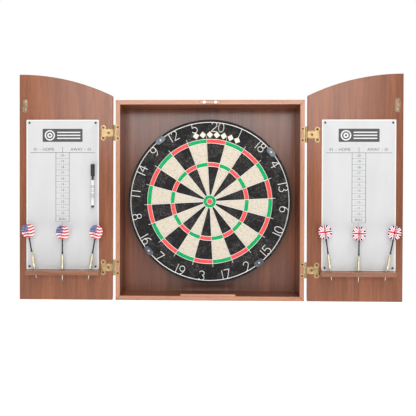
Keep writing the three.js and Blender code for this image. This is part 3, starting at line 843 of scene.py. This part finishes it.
brass = bright_metal("hinge_brass", tint(206, 180, 136), tint(158, 130, 88), 0.4)
# The hinge screws take a darker copy of the brass.
darker_screw_brass = bright_metal("darker_brass_for_screws", tint(150, 112, 70), tint(92, 62, 38), 0.4)
hinge_reach = 32 * mm
lobe_radius = 7 * mm
neck_screw_place = 11 * mm
door_screw_radius = 3.4 * mm
ear_screw_radius = 3.2 * mm
lobe_screw_up = 14 * mm
ear_screw_up = 15.4 * mm
ear_screw_in = 5.6 * mm
leaf_thickness = 1 * mm
leaf_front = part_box("left_side_panel")[0].y - leaf_thickness
for side, sign in (("left", -1), ("right", 1)):
    for level in ("upper", "lower"):
        hinge = f"{side}_{level}"
        softened(f"{hinge}_cabinet_leaf", 0.22 * mm, [brass], segments=2)
        softened(f"{hinge}_door_leaf", 0.22 * mm, [brass], segments=2)
        recoat(f"{hinge}_hinge_pin", brass)
        leaf_low, leaf_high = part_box(f"{hinge}_door_leaf")
        middle_z = (leaf_low.z + leaf_high.z) / 2
        far_x = leaf_low.x if sign < 0 else leaf_high.x
        head_x = far_x - sign * lobe_radius
        neck_x = far_x - sign * (hinge_reach - neck_screw_place)
        ear_low, ear_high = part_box(f"{hinge}_cabinet_leaf")
        ear_x = (ear_high.x if sign < 0 else ear_low.x) + sign * ear_screw_in
        places = [(head_x, lobe_screw_up), (head_x, -lobe_screw_up), (neck_x, 0)]
        door_screws = [
            screw_head(x, leaf_front, middle_z + up, door_screw_radius, 0.5 + up / mm)
            for x, up in places
        ]
        piece(f"{hinge}_door_leaf_screws", door_screws, [darker_screw_brass], f"{side}_door")
        ear_screws = [
            screw_head(ear_x, leaf_front, middle_z + up, ear_screw_radius, 0.2 + up / mm)
            for up in (-ear_screw_up, ear_screw_up)
        ]
        piece(f"{hinge}_cabinet_leaf_screws", ear_screws, [darker_screw_brass], "cabinet")

# ---------------------------------------------------------------- scoreboards
# Dry-wipe panels of white laminate, each with a raised rim painted a brighter white as the highlight along
# its edge, and four small dark screws. The chalk-free grid is printed in grey: two halves, a column of
# targets, and a plain title plate.


def laminate(name, colour, roughness):
    """Glossy wipe-clean laminate with the faint grey smears that wiped ink leaves."""
    mat = finish_named(name, roughness, Specular_IOR_Level=0.15, Coat_Weight=0.05, Coat_Roughness=0.3)
    place = own_place(mat)
    stretched = shade(mat, "Mapping", {"Vector": place, "Scale": (1, 1, 0.35)})
    smear = noise(mat, stretched, 14, 6, Roughness=0.6)
    greyer = scaled(colour, 0.93)
    gloss = gloss_from(mat, smear, roughness - 0.05, roughness + 0.1)
    wear(mat, ramp(mat, smear, [(0.35, greyer), (0.65, colour)]), smear, 0.03, 0.1 * mm, gloss)
    return mat


corner_steps = 6
least_corner = 0.05 * mm
to_middle = 1.0


def loop_round(x, z, half_width, half_height, corner):
    """A rectangle with round corners about a centre, as one closed row of points."""
    turn = np.linspace(0, pi / 2, corner_steps)
    loops = []
    for quarter, (sx, sz) in enumerate(((1, 1), (-1, 1), (-1, -1), (1, -1))):
        angle = turn + quarter * pi / 2
        centre = np.array([x + sx * (half_width - corner), z + sz * (half_height - corner)])
        loops.append(centre + corner * np.stack([np.cos(angle), np.sin(angle)], 1))
    loop = np.concatenate(loops)
    return np.concatenate([loop, loop[:1]])


def plate(x, z, half_width, half_height, corner, rows, index=None):
    """Nested round-cornered outlines, each set in by an amount at a Y, from the back round to the
    front. An amount wider than the plate, such as to_middle, closes it in the middle."""
    grid = []
    for inset, y in rows:
        shrink = min(inset, half_width, half_height)
        if inset >= half_height or inset >= half_width:
            loop = np.tile([x, z], (4 * corner_steps + 1, 1))
        else:
            rounding = max(corner - shrink, least_corner)
            loop = loop_round(x, z, half_width - shrink, half_height - shrink, rounding)
        grid.append(np.stack([loop[:, 0], np.full(len(loop), y), loop[:, 1]], 1))
    surface = skin(np.stack(grid))
    if index is not None:
        surface = (surface[0], surface[1], np.repeat(index, len(grid[0]) - 1))
    return surface


def even_rows(y, thick):
    """The rows of a plate with square edges that stands on a Y."""
    return [(to_middle, y), (0, y), (0, y - thick), (to_middle, y - thick)]


def flat_bar(x0, x1, z0, z1, y, thick):
    half = np.array([abs(x1 - x0), abs(z1 - z0)]) / 2
    middle = ((x0 + x1) / 2, (z0 + z1) / 2)
    return plate(*middle, *half, 0.02 * mm, even_rows(y, thick))


def lettering(words, height, x, z, y, thick):
    """Flat letters facing -Y, made a mesh first and then stood up and moved to their place."""
    text = bpy.data.curves.new("letters", "FONT")
    text.body = words
    text.size = height
    text.align_x = "CENTER"
    text.align_y = "CENTER"
    text.extrude = thick / 2
    text.resolution_u = 3
    maker = bpy.data.objects.new("letters", text)
    mesh = bpy.data.meshes.new_from_object(maker)
    points = np.empty(len(mesh.vertices) * 3)
    mesh.vertices.foreach_get("co", points)
    points = points.reshape(-1, 3)
    faces = [list(face.vertices) for face in mesh.polygons]
    stood = np.stack([x + points[:, 0], y - points[:, 2], z + points[:, 1]], 1)
    bpy.data.objects.remove(maker)
    bpy.data.meshes.remove(mesh)
    bpy.data.curves.remove(text)
    return stood, faces, np.zeros(len(faces), int)


# Painted highlight: the rim is a brighter white than the field, for the light its edge catches.
rim_white_painted_highlight = laminate("wipe_board_rim_painted_highlight", tint(236, 235, 232), 0.4)
field_white = laminate("wipe_board_field", tint(211, 211, 212), 0.4)
ink_grey = printed("scorer_ink", tint(62, 62, 66))
plate_black = printed("title_ink", tint(52, 50, 54))
plate_white = printed("title_ink_pale", tint(232, 232, 230))
dark_screw = bright_metal("dark_screw", tint(92, 92, 94), tint(48, 48, 50), 0.4)
rim_width = 3 * mm
field_sunk = 0.35 * mm
ink = 0.06 * mm
target_letters = 9 * mm
header_letters = 11 * mm
board_screw_radius = 2.8 * mm
board_screw_in = 8.5 * mm
targets = [f"- {bed} -" for bed in range(20, 9, -1)] + ["BULL"]


def make_scoreboard(side):
    low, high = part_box(f"{side}_scoreboard")
    x, z = (low.x + high.x) / 2, (low.z + high.z) / 2
    half_width, half_height = (high.x - low.x) / 2, (high.z - low.z) / 2
    sunk = low.y + field_sunk
    rows = [
        (to_middle, high.y),
        (0, high.y),
        (0, low.y + 0.6 * mm),
        (0.2 * mm, low.y + 0.2 * mm),
        (0.6 * mm, low.y),
        (rim_width - 0.5 * mm, low.y),
        (rim_width, sunk),
        (half_width * 0.5, sunk),
        (to_middle, sunk),
    ]
    board = plate(x, z, half_width, half_height, 2 * mm, rows, np.array([0, 0, 0, 0, 0, 0, 1, 1]))
    body = f"{side}_door"
    piece(
        f"{side}_wipe_board", [board], [rim_white_painted_highlight, field_white], body,
        [f"{side}_scoreboard"],
    )

    top = high.z
    header_z = top - 80 * mm
    rule_z = top - 88.5 * mm
    column_half = 18 * mm
    row_step = 15.5 * mm
    centre_above, centre_below = 15 * mm, 60 * mm
    margin = 10.5 * mm
    line = 0.55 * mm
    grid_end = rule_z - row_step * len(targets)
    marks = [flat_bar(low.x + margin, high.x - margin, rule_z - line, rule_z + line, sunk, ink)]
    marks.append(flat_bar(x - line, x + line, rule_z, rule_z + centre_above, sunk, ink))
    for edge in (x - column_half, x + column_half):
        marks.append(flat_bar(edge - line, edge + line, grid_end, rule_z, sunk, ink))
    for row, target in enumerate(targets):
        below = rule_z - (row + 1) * row_step
        marks.append(
            flat_bar(x - column_half, x + column_half, below - line / 2, below + line / 2, sunk, ink)
        )
        marks.append(lettering(target, target_letters, x, below + row_step / 2, sunk - ink / 2, ink))
    marks.append(flat_bar(x - line / 2, x + line / 2, grid_end - centre_below, grid_end, sunk, ink))
    header = (("01", -73), ("-", -61), ("HOME", -38), ("AWAY", 38), ("-", 61), ("01", 73))
    for words, across in header:
        marks.append(lettering(words, header_letters, x + across * mm, header_z, sunk - ink / 2, ink))
    piece(f"{side}_scorer_print", marks, [ink_grey], body)

    title_z = top - 42 * mm
    title_half = 54 * mm
    title_rise = 17.5 * mm
    ground = plate(x, title_z, title_half, title_rise, 1.5 * mm, even_rows(sunk, ink))
    disc_x = x - title_half + title_rise + 2 * mm
    trim = [ground]
    widest = 14
    for radius, index in ((widest, 1), (10.5, 0), (7, 1), (3, 0)):
        layer = ink * (2 + (widest - radius) / 3.5 * 0.4)
        size = radius * mm
        disc = plate(disc_x, title_z, size, size, size * 0.999, even_rows(sunk, layer))
        trim.append((disc[0], disc[1], np.full(len(disc[1]), index)))
    bar_start, bar_end = disc_x + 20 * mm, x + title_half - 6 * mm
    bar_step, bar_rise = 8 * mm, 1.6 * mm
    for row in (-1, 0, 1):
        bar_z = title_z + row * bar_step
        bar = flat_bar(bar_start, bar_end, bar_z - bar_rise, bar_z + bar_rise, sunk, ink * 2)
        trim.append((bar[0], bar[1], np.ones(len(bar[1]), int)))
    piece(f"{side}_title_plate", trim, [plate_black, plate_white], body)

    seat_y = low.y + 0.1 * mm
    screws = [
        screw_head(corner_x, seat_y, corner_z, board_screw_radius, corner_x * 9 + corner_z, rise=0.3)
        for corner_x in (low.x + board_screw_in, high.x - board_screw_in)
        for corner_z in (low.z + board_screw_in, high.z - board_screw_in)
    ]
    piece(f"{side}_scoreboard_screws", screws, [dark_screw], body)


make_scoreboard("left")
make_scoreboard("right")

# ---------------------------------------------------------------- dart racks
# A veneered bar under each scoreboard, glued and screwed through the door, with three drilled holes
# that the darts' points drop through.

rack_walnut = walnut(
    "walnut_rack", "x", tint(164, 108, 76), tint(146, 92, 62), tint(120, 72, 48), shift=0.8
)
for side in ("left", "right"):
    softened(f"{side}_dart_rack", 0.9 * mm, [rack_walnut])

# ---------------------------------------------------------------- strike plates
# A round-ended steel plate high on each door's meeting edge, held by two screws, which the magnet
# pulls on when the door is shut.

strike_screw_up = 11 * mm
strike_screw_radius = 2.3 * mm
# Painted reflection: the steel of the plates and their screws is tinted walnut brown, standing in for the
# wood that it mirrors.
polished = bright_metal("polished_plate_painted_reflection", tint(188, 162, 138), tint(166, 138, 114), 0.16)
for side in ("left", "right"):
    node = f"{side}_strike_plate"
    softened(node, 0.4 * mm, [polished])
    low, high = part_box(node)
    middle = (low + high) / 2
    screws = [
        screw_head(middle.x, low.y, middle.z + up, strike_screw_radius, up / mm, rise=0.25)
        for up in (-strike_screw_up, strike_screw_up)
    ]
    piece(f"{side}_strike_screws", screws, [polished], f"{side}_door")

# ---------------------------------------------------------------- darts
# Six darts: a turned brass barrel with a knurled grip on a ground steel point, a moulded black stem
# and a folded four-winged flight of printed film. They lean as they drop into their holes.

dart_brass = bright_metal("dart_brass", tint(240, 234, 208), tint(206, 194, 156), 0.3)
point_steel = bright_metal("point_steel", tint(226, 222, 214), tint(188, 182, 172), 0.25)
black_nylon = moulded("black_nylon", tint(38, 38, 40), 0.35)
joint_axes = {joint["name"]: np.array(joint["axis"]) for joint in frame["joints"]}
flight_half = 17.4 * mm
flight_length = 36.6 * mm
flight_start = 89.1 * mm
tip_depth = 21.7 * mm
hole_spacing = 72 * mm
hole_from_front = 8 * mm
nose_start, collar_end = 6.3, 49.3


def spun(profile, base, axis, across, sides=28):
    """A turned part: rows of (distance along the axis, radius), each row a circle."""
    profile = np.asarray(profile)
    angle = np.linspace(0, 2 * pi, sides + 1)[None, :, None]
    outward = np.cos(angle) * across + np.sin(angle) * np.cross(axis, across)
    centres = base + profile[:, :1] * axis
    return skin(centres[:, None, :] + profile[:, 1][:, None, None] * outward)


def barrel_profile():
    """Tapered to the nose, straight along the grip and waisted behind a collar at the stem. The
    grip is cut by ring grooves, each as deep as the square of a cosine, and by two wide ones."""
    along = np.arange(nose_start, collar_end, 0.22)
    share = (along - nose_start) / (collar_end - nose_start)
    swell = np.interp(share, [0, 0.05, 0.3, 0.86, 0.9, 0.94, 1], [1.6, 2.2, 3.95, 3.95, 2.7, 2.8, 2.4])
    grip = (share > 0.28) & (share < 0.84)
    groove_depth, groove_step = 0.28, 1.76
    groove = groove_depth * np.clip(np.cos(2 * pi * along / groove_step), 0, 1) ** 2
    wide_groove = 0.45 * ((share > 0.5) & (share < 0.53) | (share > 0.7) & (share < 0.72))
    radius = swell - np.where(grip, groove + wide_groove, 0)
    ends = [[along[0], 0]], np.stack([along, radius], 1), [[along[-1], 0]]
    return np.concatenate(ends) * mm


def wing(base, axis, across, bow_by):
    """Two opposite wings as one thin leaf. At a share of the length, the half-width is the widest
    times the superellipse (1 - |2 share - 1|^p)^(1/p), and the leaf bows sideways by a sine across
    each wing times a sine along it. Returns the surface and each point's place on it."""
    rows, columns = 40, 25
    roundness = 2.3
    half_film = 0.16 * mm
    along = (1 - np.cos(np.linspace(0, pi, rows))) / 2
    oval = np.clip(1 - np.abs(2 * along - 1) ** roundness, 0, 1) ** (1 / roundness)
    half = flight_half * oval
    spread = np.linspace(-1, 1, columns)
    spread = np.concatenate([spread, spread[::-1], spread[:1]])
    thick = half_film * np.concatenate([np.ones(columns), -np.ones(columns), [1]])
    side_on = np.cross(axis, across)
    bowed = bow_by * np.sin(pi * np.abs(spread))[None, :] * np.sin(pi * along)[:, None]
    grid = (
        base
        + (flight_start + flight_length * along)[:, None, None] * axis
        + (half[:, None] * spread[None, :])[:, :, None] * across
        + (thick[None, :] + bowed)[:, :, None] * side_on
    )
    sideways = spread[None, :] * half[:, None] / flight_half
    place = np.stack(np.broadcast_arrays(sideways, along[:, None]), 2)
    place = np.concatenate([place, np.zeros((rows, len(spread), 1))], 2)
    return skin(grid), place.reshape(-1, 3)


def striped_film():
    """Wavy red and white stripes across the flight, with a blue corner of small white spots."""
    mat = finish_named("striped_film", 0.3)
    place = shade(mat, "Attribute", {}, "Vector", attribute_name="print_place")
    split = shade(mat, "SeparateXYZ", {"Vector": place}).node.outputs
    wave = calculate(mat, "SINE", calculate(mat, "MULTIPLY", split["X"], 4.5))
    height = calculate(mat, "MULTIPLY_ADD", wave, 0.035, split["Y"])
    stripe = calculate(mat, "FRACT", calculate(mat, "MULTIPLY", height, 4.6))
    red = calculate(mat, "LESS_THAN", stripe, 0.5)
    bars = mixed(mat, red, tint(246, 240, 240), tint(214, 40, 58))
    spots = shade(mat, "TexVoronoi", {"Vector": place, "Scale": 9, "Randomness": 0.15}, "Distance")
    star = calculate(mat, "LESS_THAN", spots, 0.26)
    field = mixed(mat, star, tint(44, 52, 122), tint(225, 228, 245))
    leftward = calculate(mat, "LESS_THAN", split["X"], 0.02)
    upper = calculate(mat, "GREATER_THAN", split["Y"], 0.42)
    corner = calculate(mat, "MULTIPLY", leftward, upper)
    wear(mat, mixed(mat, corner, bars, field), wave, 0.05, 0.1 * mm)
    return mat


def crossed_film():
    """A red cross edged in white over white diagonals on navy blue."""
    mat = finish_named("crossed_film", 0.3)
    place = shade(mat, "Attribute", {}, "Vector", attribute_name="print_place")
    split = shade(mat, "SeparateXYZ", {"Vector": place}).node.outputs
    across = calculate(mat, "ABSOLUTE", split["X"])
    along = calculate(mat, "ABSOLUTE", calculate(mat, "MULTIPLY_ADD", split["Y"], 2.0, -1.0))
    nearest = calculate(mat, "MINIMUM", across, along)
    diagonal = calculate(mat, "ABSOLUTE", calculate(mat, "SUBTRACT", across, along))
    red = calculate(mat, "LESS_THAN", nearest, 0.11)
    edge = calculate(mat, "LESS_THAN", nearest, 0.24)
    slant = calculate(mat, "LESS_THAN", diagonal, 0.32)
    slant_red = calculate(mat, "LESS_THAN", diagonal, 0.09)
    white, crimson = tint(246, 240, 242), tint(218, 32, 50)
    ground = mixed(mat, slant, tint(24, 28, 84), white)
    ground = mixed(mat, slant_red, ground, tint(232, 130, 140))
    ground = mixed(mat, edge, ground, white)
    ground = mixed(mat, red, ground, crimson)
    wear(mat, ground, diagonal, 0.03, 0.1 * mm)
    return mat


def make_dart(side, number, film):
    name = f"{side}_dart_{number}"
    rack_low, rack_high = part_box(f"{side}_dart_rack")
    axis = joint_axes[f"{name}_lift"]
    base = np.array(
        [
            (rack_low.x + rack_high.x) / 2 + (number - 2) * hole_spacing,
            rack_low.y + hole_from_front,
            (rack_low.z + rack_high.z) / 2,
        ]
    )
    tip_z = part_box(f"{name}_barrel")[0].z
    base = base + axis * ((tip_z - base[2]) / axis[2] + tip_depth)
    across = np.array([axis[2], 0.0, -axis[0]])
    piece(
        f"{name}_grip", [spun(barrel_profile(), base, axis, across)], [dart_brass], name,
        [f"{name}_barrel"], crease=50,
    )
    tip, shank = -tip_depth / mm, 1.15
    point = [(tip, 0), (tip + 0.3, 0.2), (tip + 4, 0.75), (tip + 7, shank), (6.4, shank), (6.4, 0)]
    piece(
        f"{name}_point", [spun(np.array(point) * mm, base, axis, across, 16)], [point_steel], name,
    )
    stem = [
        (49.5, 0), (49.5, 2.0), (49.9, 2.3), (54, 2.3), (54.6, 2.1), (57, 1.9), (70, 1.8), (84, 1.9),
        (85, 2.2), (88.4, 2.2), (88.9, 1.8), (88.9, 0),
    ]
    piece(
        f"{name}_shaft", [spun(np.array(stem) * mm, base, axis, across, 20)], [black_nylon], name,
        [f"{name}_stem"],
    )
    leaves = [wing(base, axis, across, 0.5 * mm), wing(base, axis, np.cross(axis, across), -0.4 * mm)]
    piece(
        f"{name}_wings", [leaf[0] for leaf in leaves], [film], name, [f"{name}_flight"],
        print_place=np.concatenate([leaf[1] for leaf in leaves]),
    )


for side, film in (("left", striped_film()), ("right", crossed_film())):
    for number in (1, 2, 3):
        make_dart(side, number, film)

# ---------------------------------------------------------------- marker pen
# A slim dry-wipe pen held upright on the left scoreboard by a magnet in its cap: a white moulded
# barrel with a dark end plug, a black neck and fibre tip, and a ribbed black cap that pulls off.


def make_marker():
    low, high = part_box("marker_body")
    base = np.array([(low.x + high.x) / 2, (low.y + high.y) / 2, low.z])
    axis, across = np.array([0, 0, 1.0]), np.array([1.0, 0, 0])
    plug = [(0, 0), (0, 2.8), (0.5, 3.4), (6.2, 3.4), (6.2, 0)]
    tube = [(6, 0), (6, 4.1), (6.5, 4.6), (44, 4.6), (73.4, 4.6), (74, 4.1), (74, 0)]
    neck = [(73.8, 0), (73.8, 3.4), (76, 3.4), (77, 2.5), (88, 2.5), (90, 1.3), (92.5, 1.0), (92.8, 0)]
    white = moulded("pen_white", tint(240, 240, 238), 0.3)
    parts = [spun(np.array(profile) * mm, base, axis, across, 40) for profile in (plug, tube, neck)]
    for index, part in zip((1, 0, 1), parts):
        part[2][:] = index
    piece("marker_barrel", parts, [white, black_nylon], "marker", ["marker_body"])

    stripes = []
    for start, end in ((22, 23), (26, 38), (41, 44), (46, 49), (52, 60)):
        band = [(start, 4.58), (start, 4.66), (end, 4.66), (end, 4.58), (start, 4.58)]
        stripes.append(spun(np.array(band) * mm, base, axis, across, 40))
    piece("marker_print", stripes, [printed("marker_ink", tint(188, 190, 196))], "marker")

    cap_low, cap_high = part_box("marker_cap")
    cap_radius = (cap_high.x - cap_low.x) / 2
    length = cap_high.z - cap_low.z
    foot = np.array([base[0], base[1], cap_low.z])
    rib = np.linspace(0.1, 0.7, 60)
    rib_count, rib_depth = 12, 0.05
    ridged = cap_radius * (1 - rib_depth * (0.5 + 0.5 * np.cos(2 * pi * rib * rib_count)))
    outside = np.concatenate(
        [
            [[0, cap_radius * 0.92], [0.02 * length, cap_radius * 0.98]],
            np.stack([rib * length, ridged], 1),
            [[0.74 * length, cap_radius], [0.97 * length, cap_radius], [length, cap_radius * 0.86]],
            [[length, 0]],
        ]
    )
    bore_radius, bore_depth = cap_radius * 0.5, 14 * mm
    inside = [[bore_depth, 0], [bore_depth, bore_radius], [0, bore_radius]]
    profile = np.concatenate([inside, outside])
    piece(
        "marker_cap_ribbed", [spun(profile, foot, axis, across, 40)], [black_nylon], "marker_cap",
        ["marker_cap"],
    )


make_marker()
